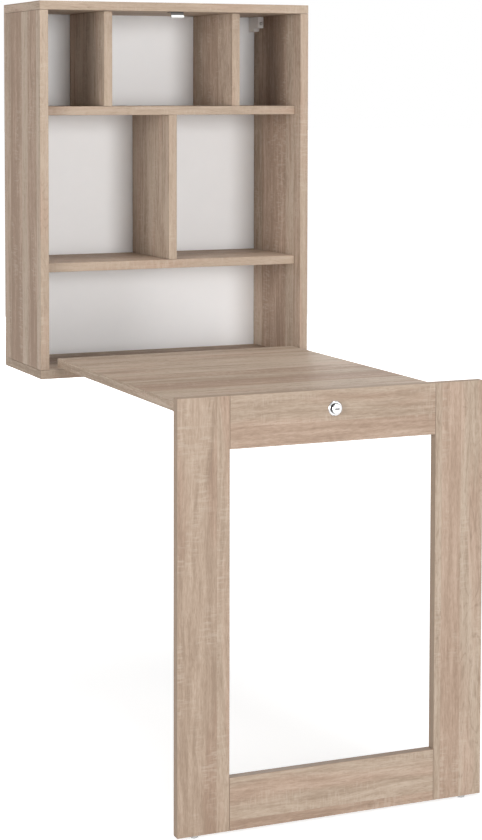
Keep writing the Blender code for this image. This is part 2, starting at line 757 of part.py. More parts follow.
def make_leg_hinges(desk):
    """Leaf plates lie under the leaf's far end; frame plates hang down the back of the top rail."""
    outer = range(0, HINGE_KNUCKLES, 2)
    inner = range(1, HINGE_KNUCKLES, 2)
    leaf_wing = LEAF_END_GAP - AXIS_OFFSET + WING_WIDTH
    for side, x in (("left", -LEG_HINGE_X), ("right", LEG_HINGE_X)):
        place = LEG_AXIS + Vector((x, 0, 0))
        name = f"leg_hinge_{side}"
        hinge_plate(desk, f"{name}_leaf_plate", place, "desk_leaf", outer, leaf_wing, 1, 0)
        hinge_plate(desk, f"{name}_frame_plate", place, "leg_frame", inner, WING_WIDTH, -1, -math.pi / 2)
        hinge_pin(desk, f"{name}_pin", place, "desk_leaf")


def make_leaf(desk):
    low = (-LEAF_HALF_WIDTH, LEAF_FRONT_Y, LEAF_UNDER_Z)
    high = (LEAF_HALF_WIDTH, LEAF_REAR_Y, LEAF_TOP_Z)
    board(desk, "desk_leaf", low, high, "desk_leaf")


def make_leg_frame(desk):
    """Full-height stiles with the two rails between them, joined by loose tenons."""
    half = CABINET_WIDTH / 2
    rail_x = STILE_INNER_X - FIT_GAP
    spans = {
        "left_stile": ((-half, FRAME_BOTTOM_Z), (-STILE_INNER_X, FRAME_TOP_Z)),
        "right_stile": ((STILE_INNER_X, FRAME_BOTTOM_Z), (half, FRAME_TOP_Z)),
        "top_rail": ((-rail_x, FRAME_TOP_Z - TOP_RAIL_HEIGHT), (rail_x, FRAME_TOP_Z)),
        "bottom_rail": ((-rail_x, FRAME_BOTTOM_Z), (rail_x, FRAME_BOTTOM_Z + BOTTOM_RAIL_HEIGHT)),
    }
    made = {}
    for name, ((low_x, low_z), (high_x, high_z)) in spans.items():
        low, high = (low_x, FRAME_FRONT_Y, low_z), (high_x, FRAME_BACK_Y, high_z)
        made[name] = board(desk, name, low, high, "leg_frame")
    middle_y = (FRAME_FRONT_Y + FRAME_BACK_Y) / 2
    heights = {"top": FRAME_TOP_Z - TOP_RAIL_HEIGHT / 2, "bottom": FRAME_BOTTOM_Z + BOTTOM_RAIL_HEIGHT / 2}
    reach = Vector((TENON_LENGTH, TENON_THICKNESS, TENON_HEIGHT)) / 2
    for level, z in heights.items():
        for side, x in (("left", -STILE_INNER_X), ("right", STILE_INNER_X)):
            name = f"{level}_{side}_tenon"
            centre = Vector((x, middle_y, z))
            low, high = centre - reach, centre + reach
            board(desk, name, low, high, "leg_frame", "birch", TENON_EASE)
            pocket = box_cutter(desk, f"{name}_pocket", *grown(low, high, FIT_GAP))
            boolean(made[f"{level}_rail"], pocket)
            boolean(made[f"{side}_stile"], pocket)
    return made


def make_feet(desk, boards):
    """Nail-in glides under the stiles."""
    radius, shank = FOOT_DIAMETER / 2, FOOT_SHANK_DIAMETER / 2
    middle_y = (FRAME_FRONT_Y + FRAME_BACK_Y) / 2
    sole = FRAME_BOTTOM_Z - FOOT_HEIGHT
    top = FOOT_HEIGHT - FIT_GAP
    tip = top + FOOT_SHANK_LENGTH
    profile = [
        (0, tip),
        (shank / 2, tip),
        (shank, tip - shank),
        (shank, top),
        (radius, top),
        (radius, FOOT_CHAMFER),
        (radius - FOOT_CHAMFER, 0),
        (0, 0),
    ]
    hole = [
        (0, tip + FIT_GAP),
        (shank + FIT_GAP, tip + FIT_GAP),
        (shank + FIT_GAP, top - CUTTER_MARGIN),
        (0, top - CUTTER_MARGIN),
    ]
    foot_x = CABINET_WIDTH / 2 - FOOT_INSET
    for side, x in (("left", -foot_x), ("right", foot_x)):
        place = (x, middle_y, sole)
        turned_piece(desk, f"{side}_foot_glide", profile, place, UP, "leg_frame", "grey_plastic", FINE_SIDES)
        cutter = turned_cutter(desk, f"{side}_foot_hole", hole, place, UP, SCREW_SIDES)
        boolean(boards[f"{side}_stile"], cutter)


def make_lock(desk, boards):
    """A cam lock: a rosette and barrel in the top rail, and a plug that turns the cam behind the strike."""
    rosette, barrel = ROSETTE_DIAMETER / 2, BARREL_DIAMETER / 2
    plug, stub = PLUG_DIAMETER / 2, PLUG_STUB_DIAMETER / 2
    bore = plug + FIT_GAP
    seat = FIT_GAP
    face = seat + ROSETTE_HEIGHT
    rear = -BOARD
    housing = [
        (bore, face),
        (rosette - ROSETTE_CHAMFER, face),
        (rosette, face - ROSETTE_CHAMFER),
        (rosette, seat),
        (barrel, seat),
        (barrel, rear),
        (bore, rear),
        (bore, face),
    ]
    turned_piece(desk, "lock_housing", housing, LOCK_CENTRE, FRONT, "leg_frame", "chrome", FINE_SIDES)
    well = [
        (0, CUTTER_MARGIN),
        (barrel + FIT_GAP, CUTTER_MARGIN),
        (barrel + FIT_GAP, rear - CUTTER_MARGIN),
        (0, rear - CUTTER_MARGIN),
    ]
    boolean(boards["top_rail"], turned_cutter(desk, "lock_well", well, LOCK_CENTRE, FRONT, FINE_SIDES))

    front = face + PLUG_STAND_OUT
    cam_front = -(CAM_FRONT_Y - FRAME_FRONT_Y)
    stub_end = cam_front + FIT_GAP
    cam_rear = cam_front - CAM_SHEET
    profile = [
        (0, front),
        (plug - PLUG_CHAMFER, front),
        (plug, front - PLUG_CHAMFER),
        (plug, rear),
        (stub, rear),
        (stub, stub_end),
        (0, stub_end),
    ]
    plug_piece = turned_piece(
        desk, "lock_plug", profile, LOCK_CENTRE, FRONT, "lock_cylinder", "chrome", FINE_SIDES
    )
    slot_low = LOCK_CENTRE + Vector((-KEY_SLOT_WIDTH / 2, -front - CUTTER_MARGIN, -KEY_SLOT_HEIGHT / 2))
    slot_high = LOCK_CENTRE + Vector((KEY_SLOT_WIDTH / 2, -front + KEY_SLOT_DEPTH, KEY_SLOT_HEIGHT / 2))
    boolean(plug_piece, box_cutter(desk, "key_slot", slot_low, slot_high))

    half = CAM_WIDTH / 2
    outline = arc_points((0, 0), half, 90, 270, CAM_ARC_STEPS)
    shoulder, corner = CAM_LENGTH - CAM_CORNER, half - CAM_CORNER
    outline += [(shoulder, -half), (CAM_LENGTH, -corner), (CAM_LENGTH, corner), (shoulder, half)]
    cam_centre = LOCK_CENTRE + Vector((0, -cam_front + CAM_SHEET / 2, 0))
    upright = Matrix.Rotation(math.radians(90), 3, "X").to_quaternion()
    cam = desk.piece(
        "lock_cam",
        outline_mesh("lock_cam", outline, CAM_SHEET),
        "lock_cylinder",
        cam_centre,
        "zinc",
        upright,
    )
    head, shank = CAM_SCREW_HEAD_DIAMETER / 2, CAM_SCREW_DIAMETER / 2
    head_seat = cam_rear - FIT_GAP
    tip = -CAM_SCREW_LENGTH
    screw = [
        (0, CAM_SCREW_HEAD_HEIGHT),
        (CAM_SCREW_CROWN_DIAMETER / 2, CAM_SCREW_HEAD_HEIGHT),
        (head, CAM_SCREW_HEAD_HEIGHT / 2),
        (head, 0),
        (shank, 0),
        (shank, tip),
        (0, tip),
    ]
    screw_place = LOCK_CENTRE + Vector((0, -head_seat, 0))
    turned_piece(desk, "cam_screw", screw, screw_place, BACK, "lock_cylinder", "zinc", SCREW_SIDES)
    hole = [
        (0, CUTTER_MARGIN),
        (shank + FIT_GAP, CUTTER_MARGIN),
        (shank + FIT_GAP, tip - FIT_GAP),
        (0, tip - FIT_GAP),
    ]
    cutter = turned_cutter(desk, "cam_screw_hole", hole, screw_place, BACK, SCREW_SIDES)
    boolean(cam, cutter)
    boolean(plug_piece, cutter)


def main():
    clear_scene()
    desk = Desk()
    boards = make_carcass(desk)
    make_assembly_screws(desk, boards)
    make_hangers(desk, boards)
    make_strike(desk, boards)
    make_leaf(desk)
    make_desk_hinges(desk)
    make_leg_hinges(desk)
    boards.update(make_leg_frame(desk))
    make_feet(desk, boards)
    make_lock(desk, boards)


main()
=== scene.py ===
"""Looks of the wall-hung folding desk: finishes, small screws and nails, floor, light and camera."""

import json
import math

import bmesh
import bpy
from mathutils import Matrix, Vector

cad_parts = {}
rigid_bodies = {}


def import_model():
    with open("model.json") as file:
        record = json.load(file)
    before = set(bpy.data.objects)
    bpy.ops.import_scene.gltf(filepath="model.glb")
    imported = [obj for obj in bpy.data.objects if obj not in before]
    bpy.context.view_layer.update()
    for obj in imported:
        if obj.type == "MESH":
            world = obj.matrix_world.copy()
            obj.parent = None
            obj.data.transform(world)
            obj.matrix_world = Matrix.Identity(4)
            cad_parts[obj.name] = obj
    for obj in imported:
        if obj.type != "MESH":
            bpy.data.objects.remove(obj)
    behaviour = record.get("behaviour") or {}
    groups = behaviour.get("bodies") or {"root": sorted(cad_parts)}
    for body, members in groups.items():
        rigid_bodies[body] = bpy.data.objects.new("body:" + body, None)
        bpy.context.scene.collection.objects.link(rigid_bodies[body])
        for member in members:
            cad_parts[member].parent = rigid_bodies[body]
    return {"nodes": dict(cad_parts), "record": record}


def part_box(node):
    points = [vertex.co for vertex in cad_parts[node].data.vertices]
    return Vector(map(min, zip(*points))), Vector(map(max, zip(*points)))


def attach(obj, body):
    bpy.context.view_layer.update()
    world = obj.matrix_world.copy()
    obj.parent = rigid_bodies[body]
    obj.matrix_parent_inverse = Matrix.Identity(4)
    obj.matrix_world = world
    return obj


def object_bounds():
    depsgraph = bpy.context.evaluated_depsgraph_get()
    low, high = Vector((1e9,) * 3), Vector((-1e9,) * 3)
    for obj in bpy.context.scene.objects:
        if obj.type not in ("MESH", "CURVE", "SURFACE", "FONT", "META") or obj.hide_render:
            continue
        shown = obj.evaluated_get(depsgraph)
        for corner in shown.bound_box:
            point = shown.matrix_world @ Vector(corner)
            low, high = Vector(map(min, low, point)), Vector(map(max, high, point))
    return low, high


for leftover in list(bpy.data.objects):
    bpy.data.objects.remove(leftover)

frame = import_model()
cad_low, cad_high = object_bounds()
NODES = frame["nodes"]
X, Y, Z = range(3)

# Screws in the hinge plates, in metres
HINGE_SHEET = 0.0012
HINGE_SCREWS = 3
HINGE_SCREW_SPACING = 0.021
HINGE_SCREW_EDGE = 0.0068
SCREW_HEAD_RADIUS = 0.0029
SCREW_SHANK_RADIUS = 0.0014
SCREW_HEAD_HEIGHT = 0.0009
SCREW_RECESS = 0.0006
SCREW_LENGTH = 0.0012

# Faces with a cross recess, laid on the plain heads of the turned screws
HANGER_CROWN_RADIUS = 0.0027
STRIKE_HEAD_RADIUS = 0.0027
CAM_CROWN_RADIUS = 0.0022
DRIVE_HEIGHT = 0.0004
DRIVE_GAP = 0.00005

# Nails round the back panel
NAIL_RADIUS = 0.0022
NAIL_HEIGHT = 0.0003
NAIL_INSET = 0.008
NAILS_ACROSS = 5
NAILS_UPWARD = 6
NAIL_FROM_SIDE = 0.05
NAIL_FROM_BOTTOM = 0.07
NAIL_FROM_TOP = 0.12

# Facets round a screw and a nail, and the share of the radius at each point of a ring, in turn
SCREW_SIDES = 16
NAIL_SIDES = 10
ROUND = (1.0,)
CROSS = (1.0, 0.42, 0.30, 0.42)

# Shares of a head's radius, for the floor and mouth of its recess and for its rim
SCREW_FLOOR = 0.34
SCREW_MOUTH = 0.62
SCREW_RIM = 0.93
DRIVE_FLOOR = 0.40
DRIVE_MOUTH = 0.70
DRIVE_RIM = 0.94
NAIL_RIM = 0.8

# Shares of a head's height, for the depth of its edge or the level of its edge and of its recess's floor
SCREW_EDGE_DEPTH = 0.15
DRIVE_EDGE_LEVEL = 0.7
DRIVE_FLOOR_LEVEL = 0.3
NAIL_EDGE_LEVEL = 0.4

# Range that most of a noise's values lie in
NOISE_LOW = 0.3
NOISE_HIGH = 0.7

# Cosines of a face's normal with an axis: up to the first it runs along, from the second it is square
FACE_ALONG = 0.4
FACE_SQUARE = 0.6

# Cosines between a rounded normal and the flat one, on faces and at edges
FLAT_COSINE = 0.995
EDGE_COSINE = 0.90

# Shares of open sky, on faces and deep in corners
OPEN_SKY = 0.85
CORNER_SKY = 0.35

# Colours of the oak print, and the tint of its rosy streaks
OAK_VEIN = (0.238, 0.171, 0.123)
OAK_DARK = (0.314, 0.234, 0.173)
OAK_MID = (0.414, 0.321, 0.245)
OAK_PALE = (0.498, 0.401, 0.318)
OAK_SAWN = (0.520, 0.429, 0.346)
OAK_ROSE = (1.0, 0.925, 0.915)

# Scales of the oak print, in cycles per metre along the grain and across it
OAK_PATCHES = (7, 24)
OAK_CUTS = (230, 40)
OAK_WANDER = (2.2, 7)
OAK_BROAD = (0.5, 10)
OAK_BANDS = (2.0, 34)
OAK_STREAKS = (8, 150)
OAK_FINE = (75, 480)
OAK_PORES = (95, 800)
OAK_CONTOURS = (2.4, 15)
OAK_FIGURED = (1.6, 11)
OAK_ROSY = (3.5, 30)

# Ranges over which the layers of the oak print come in, with the least share of veins and their width
PATCH_RANGE = (0.49, 0.62)
CUT_RANGE = (0.48, 0.64)
PORE_RANGE = (0.58, 0.72)
FIGURED_RANGE = (0.47, 0.63)
FIGURED_LEAST = 0.15
VEIN_WIDTH = 0.45
VEIN_STREAKS = (0.64, 0.42)
ROSY_RANGE = (0.50, 0.66)
ROSY_STRIPS = (-0.05, -0.35)

# Strips of the oak print, how far each moves the figure along and across the grain, and their contrast
PLANKS_PER_METRE = 15.0
PLANK_UNEVENNESS = 2.4
PLANK_UNEVEN_SCALE = (0.0, 9)
PLANK_SHIFT = (3.1, 0.7)
FRAME_PLANKS = 0.03
BOARD_PLANKS = 0.065

# How far the oak's figure strays, its contrast, and how much of each layer shows
WANDER_REACH = 0.036
CONTOUR_LINES = 44.0
TONE_SHARES = (0.22, 0.22, 0.34, 0.22)
TONE_REACH = 0.10
FRAME_FIGURE = 1.1
BOARD_FIGURE = 1.8
ROSE_SHARE = 0.8
VEIN_SHARE = 0.55
PORE_SHARE = 0.38
SAW_SHARE = 0.42
# Painted shade along sharp edges: its share and its width
EDGE_SHADE_SHARE = 0.45
EDGE_SHADE_WIDTH = 0.0014
BANDING_CALM = 0.65
NARROW_FACE_DARKENING = 0.7

# Farthest shift of the oak's figure from piece to piece, in metres
OAK_SPREAD = (4.3, 2.6, 5.9)
LEVEL_BOARD_SPREAD = (3.7, 5.3, 2.9)

# Colours of the other finishes
LACQUER_DULL = (0.88, 0.888, 0.898)
LACQUER_BRIGHT = (0.91, 0.918, 0.928)
FIBRE_DARK = (0.235, 0.150, 0.085)
FIBRE_PALE = (0.335, 0.225, 0.135)
FIBRE_STAIN = (0.27, 0.18, 0.11)
FIBRE_EDGE = (0.36, 0.26, 0.17)
BIRCH_DARK = (0.50, 0.36, 0.21)
BIRCH_PALE = (0.66, 0.51, 0.33)
ZINC_DULL = (0.50, 0.50, 0.48)
ZINC_BRIGHT = (0.66, 0.66, 0.65)
ZINC_RUBBED = (0.80, 0.80, 0.79)
CHROME_DULL = (0.58, 0.58, 0.59)
CHROME_BRIGHT = (0.70, 0.70, 0.70)
# Painted dark reflection on the lock's turned flanks, in place of the surroundings they mirror
FLANK_REFLECTION_DARK = (0.075, 0.075, 0.08)
FLANK_REFLECTION_PALE = (0.13, 0.13, 0.135)
# Painted shade deep in the chrome's corners and slots
CORNER_SHADE = (0.06, 0.06, 0.062)
STEEL_DARK = (0.030, 0.026, 0.023)
STEEL_PALE = (0.055, 0.048, 0.042)
STEEL_BARE = (0.32, 0.31, 0.30)

# Paler edges of moulded plastic, and the spread of its roughness
PLASTIC_EDGE = 1.12
PLASTIC_SPREAD = 0.12

# Floor: half its side, its greys, and its glow at a distance near to the middle and at one farther out
FLOOR_REACH = 60
FLOOR_DARK = (0.79, 0.79, 0.79)
FLOOR_PALE = (0.81, 0.81, 0.81)
GLOW_FROM = 0.8
GLOW_TO = 3.0
GLOW_NEAR = 0.66
GLOW_FAR = 0.95

# Light: each softbox with its place, target, width and power in watts
WHITE = (1, 1, 1, 1)
WORLD_LIGHT = 0.15
SOFTBOXES = (
    ("front_softbox", (1.0, -8.4, 0.5), (0.0, -0.5, -0.3), 3.0, 362.0),
    ("left_softbox", (-5.4, -3.3, 0.3), (0.0, -0.5, -0.3), 3.0, 212.0),
    ("overhead_softbox", (0.0, -0.9, 2.6), (0.0, -0.9, 0.0), 2.0, 56.0),
    ("rear_softbox", (2.2, 6.8, 0.1), (0.0, 0.0, -0.2), 3.0, 260.0),
)

# Camera, fitted to the photograph's straight edges, with its angles in degrees
SENSOR_WIDTH = 36.0
LENS = 86.69
LENS_SHIFT = (0.0726, -0.25)
VIEW_DISTANCE = 200.0
CAMERA_PLACE = (-1.6033, -4.1129, 0.1972)
CAMERA_LEAN = 3.309
CAMERA_TURN = -22.553


class Shader:
    """A material whose nodes are added and wired by short calls."""

    def __init__(self, name):
        self.material = bpy.data.materials.new(name)
        self.material.use_nodes = True
        self.tree = self.material.node_tree
        self.surface = self.tree.nodes["Principled BSDF"]
        self.place = self.node("TexCoord").outputs["Object"]

    def node(self, kind, **settings):
        made = self.tree.nodes.new(f"ShaderNode{kind}")
        for key, value in settings.items():
            setattr(made, key, value)
        return made

    def feed(self, socket, value):
        if isinstance(value, bpy.types.NodeSocket):
            self.tree.links.new(value, socket)
        else:
            socket.default_value = value

    def maths(self, operation, first, second=0.0):
        step = self.node("Math", operation=operation)
        self.feed(step.inputs[0], first)
        self.feed(step.inputs[1], second)
        return step.outputs["Value"]

    def vector_maths(self, operation, first, second):
        step = self.node("VectorMath", operation=operation)
        self.feed(step.inputs[0], first)
        self.feed(step.inputs[1], second)
        return step.outputs["Value" if operation == "DOT_PRODUCT" else "Vector"]

    def scaled(self, vector, share):
        step = self.node("VectorMath", operation="SCALE")
        self.feed(step.inputs[0], vector)
        self.feed(step.inputs["Scale"], share)
        return step.outputs["Vector"]

    def weighted(self, *pairs):
        total = None
        for value, weight in pairs:
            term = self.maths("MULTIPLY", value, weight)
            total = term if total is None else self.maths("ADD", total, term)
        return total

    def between(self, value, low, high, to_low=0.0, to_high=1.0):
        spread = self.node("MapRange", clamp=True)
        self.feed(spread.inputs["Value"], value)
        self.feed(spread.inputs["From Min"], low)
        self.feed(spread.inputs["From Max"], high)
        self.feed(spread.inputs["To Min"], to_low)
        self.feed(spread.inputs["To Max"], to_high)
        return spread.outputs["Result"]

    def varied(self, noise, low, high):
        """A number that goes from low to high over a noise's usual range."""
        return self.between(noise, NOISE_LOW, NOISE_HIGH, low, high)

    def ramp(self, value, *stops):
        ramp = self.node("ValToRGB")
        elements = ramp.color_ramp.elements
        while len(elements) < len(stops):
            elements.new(0.5)
        for element, (position, colour) in zip(elements, stops):
            element.position = position
            element.color = (*colour, 1)
        self.feed(ramp.inputs["Fac"], value)
        return ramp.outputs["Color"]

    def clouded(self, noise, low, high):
        """A colour that goes from low to high over a noise's usual range."""
        return self.ramp(noise, (NOISE_LOW, low), (NOISE_HIGH, high))

    def mix(self, factor, first, second, blend="MIX"):
        mixed = self.node("Mix", data_type="RGBA", blend_type=blend)
        sockets = (mixed.inputs[0], mixed.inputs[6], mixed.inputs[7])
        for socket, value in zip(sockets, (factor, first, second)):
            if isinstance(value, tuple):
                value = (*value, 1)
            self.feed(socket, value)
        return mixed.outputs[2]

    def layer(self, colour, mask, share, other, blend="MIX"):
        """A colour with a share of another one laid over it where the mask is 1."""
        return self.mix(self.maths("MULTIPLY", mask, share), colour, other, blend)

    def per_piece(self, spread):
        """Moves the coordinates by a different share of the spread for each piece."""
        chance = self.node("ObjectInfo").outputs["Random"]
        self.place = self.vector_maths("ADD", self.place, self.scaled(spread, chance))

    def normal_along(self, axis):
        apart = self.node("SeparateXYZ")
        self.feed(apart.inputs["Vector"], self.node("TexCoord").outputs["Normal"])
        return apart.outputs[axis]

    def facing_axis(self, axis):
        """1 on faces square to an axis of the object, 0 on faces along it."""
        return self.between(self.maths("ABSOLUTE", self.normal_along(axis)), FACE_ALONG, FACE_SQUARE)

    def turn_on_ends(self, grain, edging):
        """Swaps two axes on faces square to the grain, as on a board whose ends are edged with a strip."""
        apart = self.node("SeparateXYZ")
        self.feed(apart.inputs["Vector"], self.place)
        swapped = self.node("CombineXYZ")
        order = [X, Y, Z]
        order[grain], order[edging] = edging, grain
        for socket, axis in zip(swapped.inputs, order):
            self.feed(socket, apart.outputs[axis])
        choice = self.node("Mix", data_type="VECTOR")
        self.feed(choice.inputs[0], self.facing_axis(grain))
        self.feed(choice.inputs[4], self.place)
        self.feed(choice.inputs[5], swapped.outputs["Vector"])
        self.place = choice.outputs[1]

    def planks(self, across, uneven, shift):
        """A tone from 0 to 1 for each strip of uneven width.

        The coordinates move by that share of the shift, so that the figure breaks off between strips.
        """
        distance = self.vector_maths("DOT_PRODUCT", self.place, across)
        even = self.maths("MULTIPLY", distance, PLANKS_PER_METRE)
        count = self.weighted((even, 1.0), (self.noise(uneven, detail=1), PLANK_UNEVENNESS))
        strip = self.node("TexWhiteNoise", noise_dimensions="1D")
        self.feed(strip.inputs["W"], self.maths("FLOOR", count))
        tone = strip.outputs["Value"]
        self.place = self.vector_maths("ADD", self.place, self.scaled(shift, tone))
        return tone

    def wander(self, scale, reach):
        """Pushes the coordinates about with a slow noise, by a share of the reach along each axis."""
        texture = self.node("TexNoise")
        self.feed(texture.inputs["Vector"], self.mapped(scale))
        self.feed(texture.inputs["Scale"], 1.0)
        centred = self.vector_maths("SUBTRACT", texture.outputs["Color"], (0.5, 0.5, 0.5))
        self.place = self.vector_maths("ADD", self.place, self.vector_maths("MULTIPLY", centred, reach))

    def mapped(self, scale):
        mapping = self.node("Mapping")
        self.feed(mapping.inputs["Vector"], self.place)
        self.feed(mapping.inputs["Scale"], scale)
        return mapping.outputs["Vector"]

    def noise(self, scale, detail=3.0, roughness=0.5, distortion=0.0):
        """Noise with its own scale along each axis, or one for all, in cycles per metre."""
        each = scale if isinstance(scale, tuple) else (scale, scale, scale)
        texture = self.node("TexNoise")
        self.feed(texture.inputs["Vector"], self.mapped(each))
        self.feed(texture.inputs["Scale"], 1.0)
        self.feed(texture.inputs["Detail"], detail)
        self.feed(texture.inputs["Roughness"], roughness)
        self.feed(texture.inputs["Distortion"], distortion)
        return texture.outputs["Fac"]

    def edges(self, radius):
        """1 on a band of about this width along sharp edges, 0 on flat faces."""
        rounded = self.node("Bevel", samples=6)
        self.feed(rounded.inputs["Radius"], radius)
        flat = self.node("NewGeometry").outputs["Normal"]
        cosine = self.vector_maths("DOT_PRODUCT", rounded.outputs["Normal"], flat)
        return self.between(cosine, FLAT_COSINE, EDGE_COSINE)

    def corners(self, reach):
        """1 deep in corners and slots, 0 on open faces."""
        occlusion = self.node("AmbientOcclusion", samples=8)
        self.feed(occlusion.inputs["Distance"], reach)
        return self.between(occlusion.outputs["AO"], OPEN_SKY, CORNER_SKY)

    def bump(self, height, distance, strength):
        bumped = self.node("Bump")
        self.feed(bumped.inputs["Height"], height)
        self.feed(bumped.inputs["Distance"], distance)
        self.feed(bumped.inputs["Strength"], strength)
        self.feed(self.surface.inputs["Normal"], bumped.outputs["Normal"])

    def finish(self, colour, roughness, metallic=0.0, **more):
        self.feed(self.surface.inputs["Base Color"], colour)
        self.feed(self.surface.inputs["Roughness"], roughness)
        self.feed(self.surface.inputs["Metallic"], metallic)
        for socket, value in more.items():
            self.feed(self.surface.inputs[socket.replace("_", " ")], value)
        return self.material


def oak(name, grain, edging, figure, planks, banded, spread=OAK_SPREAD):
    """Oak print with its grain along one axis, or along the edging's axis on ends.

    figure is the contrast of its grain and planks that of its strips. A board's banded front edge is calmer
    and shows no strips; the frame's narrow faces are coloured darker.
    """
    shader = Shader(name)
    shader.turn_on_ends(grain, edging)
    shader.per_piece(spread)

    def along(length, width):
        return tuple(length if axis == grain else width for axis in range(3))

    strip = shader.planks(along(0.0, 1.0), along(*PLANK_UNEVEN_SCALE), along(*PLANK_SHIFT))
    strips = shader.maths("SUBTRACT", strip, 0.5)
    if banded:
        strips = shader.maths("MULTIPLY", strips, shader.between(shader.facing_axis(Y), 1.0, 0.0))
    patches = shader.between(shader.noise(along(*OAK_PATCHES), detail=2), *PATCH_RANGE)
    cuts = shader.between(shader.noise(along(*OAK_CUTS), detail=2, roughness=0.6), *CUT_RANGE)
    saw = shader.maths("MULTIPLY", cuts, patches)
    shader.wander(along(*OAK_WANDER), along(0.0, WANDER_REACH))
    broad = shader.noise(along(*OAK_BROAD), detail=2)
    bands = shader.noise(along(*OAK_BANDS), detail=3, roughness=0.55)
    streaks = shader.noise(along(*OAK_STREAKS), detail=4, roughness=0.65)
    fine = shader.noise(along(*OAK_FINE), detail=3, roughness=0.6)
    pores = shader.between(shader.noise(along(*OAK_PORES), detail=2), *PORE_RANGE)
    heights = shader.noise(along(*OAK_CONTOURS), detail=2, distortion=1.2)
    contours = shader.maths("MULTIPLY", heights, CONTOUR_LINES)
    wave = shader.maths("ABSOLUTE", shader.maths("SINE", contours))
    figured = shader.between(shader.noise(along(*OAK_FIGURED), detail=2), *FIGURED_RANGE, FIGURED_LEAST, 1.0)
    veins = shader.maths("MULTIPLY", shader.between(wave, 0.0, VEIN_WIDTH, 1.0, 0.0), figured)
    veins = shader.maths("MULTIPLY", veins, shader.between(streaks, *VEIN_STREAKS))
    rosy = shader.between(shader.noise(along(*OAK_ROSY), detail=2), *ROSY_RANGE)

    layers = zip((broad, bands, streaks, fine), TONE_SHARES)
    tone = shader.weighted(*layers, (strips, planks))
    if banded:
        calm = shader.maths("MULTIPLY", shader.maths("SUBTRACT", 0.5, tone), shader.facing_axis(Y))
        tone = shader.weighted((tone, 1.0), (calm, BANDING_CALM))
    reach = TONE_REACH / figure
    colour = shader.ramp(tone, (0.5 - reach, OAK_DARK), (0.5, OAK_MID), (0.5 + reach, OAK_PALE))
    warm = shader.maths("MAXIMUM", rosy, shader.between(strips, *ROSY_STRIPS))
    colour = shader.layer(colour, warm, ROSE_SHARE, OAK_ROSE, "MULTIPLY")
    colour = shader.layer(colour, veins, VEIN_SHARE, OAK_VEIN)
    colour = shader.layer(colour, pores, PORE_SHARE, OAK_VEIN)
    colour = shader.layer(colour, saw, SAW_SHARE, OAK_SAWN)
    if not banded:
        # The frame's narrow faces are coloured darker than its front and back.
        narrow = shader.between(shader.facing_axis(Y), 1.0, 0.0)
        colour = shader.layer(colour, narrow, NARROW_FACE_DARKENING, OAK_DARK)
    # Painted shade: a thin darker band along sharp edges, standing in for the dark line the rounded edges
    # catch
    colour = shader.layer(colour, shader.edges(EDGE_SHADE_WIDTH), EDGE_SHADE_SHARE, OAK_DARK)
    roughness = shader.between(shader.weighted((streaks, 0.6), (pores, 0.4)), 0.2, 0.8, 0.56, 0.74)
    shader.bump(shader.weighted((pores, -0.7), (fine, 0.3), (saw, 0.5)), distance=0.00012, strength=0.5)
    return shader.finish(colour, roughness, Specular_IOR_Level=0.18)


def back_board(name):
    """Thin fibreboard: faintly mottled white lacquer in front, bare brown fibres behind and on the edges."""
    shader = Shader(name)
    mottle = shader.noise(6, detail=4, roughness=0.6)
    peel = shader.noise(900, detail=2)
    fibres = shader.noise(260, detail=4, roughness=0.7, distortion=0.8)
    lacquer = shader.clouded(mottle, LACQUER_DULL, LACQUER_BRIGHT)
    raw = shader.ramp(fibres, (0.35, FIBRE_DARK), (0.65, FIBRE_PALE))
    raw = shader.mix(shader.between(mottle, 0.35, 0.65, 0.0, 0.35), raw, FIBRE_STAIN)
    bare = shader.between(shader.normal_along(Y), -FACE_SQUARE, -FACE_ALONG)
    colour = shader.mix(bare, lacquer, raw)
    colour = shader.layer(colour, shader.edges(0.0008), 0.5, FIBRE_EDGE)
    relief = shader.weighted((peel, 0.5), (shader.maths("MULTIPLY", fibres, bare), 1.0))
    shader.bump(relief, distance=0.00004, strength=0.4)
    gloss = shader.varied(mottle, 0.50, 0.60)
    return shader.finish(colour, shader.weighted((gloss, 1.0), (bare, 0.25)))


def birch(name):
    """Birch of the loose tenons, with its grain along X."""
    shader = Shader(name)
    shader.per_piece((2.1, 1.7, 3.3))
    grain = shader.noise((12, 300, 300), detail=3, roughness=0.6)
    colour = shader.ramp(grain, (0.35, BIRCH_DARK), (0.65, BIRCH_PALE))
    shader.bump(grain, distance=0.0001, strength=0.4)
    return shader.finish(colour, shader.varied(grain, 0.55, 0.70))


def zinc(name):
    """Bright zinc plate: rolled streaks, a faint bloom and polished edges."""
    shader = Shader(name)
    shader.per_piece((1.3, 2.1, 1.7))
    rolled = shader.noise((60, 2200, 2200), detail=3, roughness=0.6)
    bloom = shader.noise(140, detail=3)
    colour = shader.clouded(bloom, ZINC_DULL, ZINC_BRIGHT)
    colour = shader.layer(colour, shader.edges(0.0004), 0.6, ZINC_RUBBED)
    roughness = shader.varied(shader.weighted((rolled, 0.5), (bloom, 0.5)), 0.26, 0.46)
    shader.bump(rolled, distance=0.00002, strength=0.5)
    return shader.finish(colour, roughness, 1.0)


